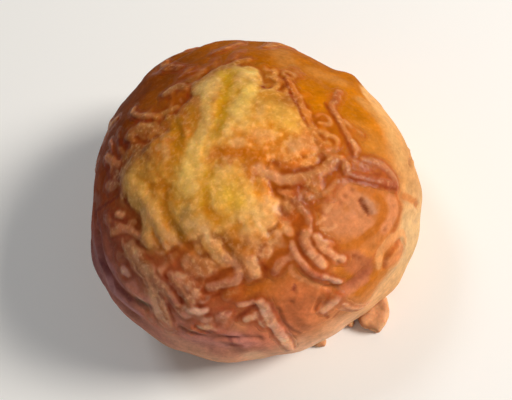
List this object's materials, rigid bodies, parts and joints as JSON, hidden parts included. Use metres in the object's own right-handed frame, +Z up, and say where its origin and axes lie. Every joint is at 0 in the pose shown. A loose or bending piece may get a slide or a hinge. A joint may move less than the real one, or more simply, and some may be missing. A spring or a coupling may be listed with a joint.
{
  "type": "cheese bread",
  "caption": "Round baked bread bun with a flat base, topped with a pool of melted cheese, browned shreds of grated cheese and crisp scraps at the foot.",
  "frame": {"origin": "on the surface the bread stands on, below the middle of the whole part", "axes": "+Z up through the dome; -Y towards the side with the crisp scraps at the foot"},
  "size_m": [0.0862, 0.09, 0.0571],
  "materials": {
    "crust": null,
    "cheese": null,
    "crisp": null
  },
  "bodies": {
    "root": {"bun": "crust", "melted_cheese": "cheese", "cheese_shred_1": "cheese", "cheese_shred_2": "cheese", "cheese_shred_3": "cheese", "cheese_shred_4": "cheese", "cheese_shred_5": "cheese", "cheese_shred_6": "cheese", "cheese_shred_7": "cheese", "cheese_shred_8": "cheese", "cheese_shred_9": "cheese", "cheese_shred_10": "cheese", "cheese_shred_11": "cheese", "cheese_shred_12": "cheese", "cheese_shred_13": "cheese", "cheese_shred_14": "cheese", "cheese_shred_15": "cheese", "cheese_shred_16": "cheese", "cheese_shred_17": "cheese", "cheese_shred_18": "cheese", "crisp_scrap_1": "crisp", "crisp_scrap_2": "crisp", "crisp_scrap_3": "crisp"}
  },
  "joints": []
}
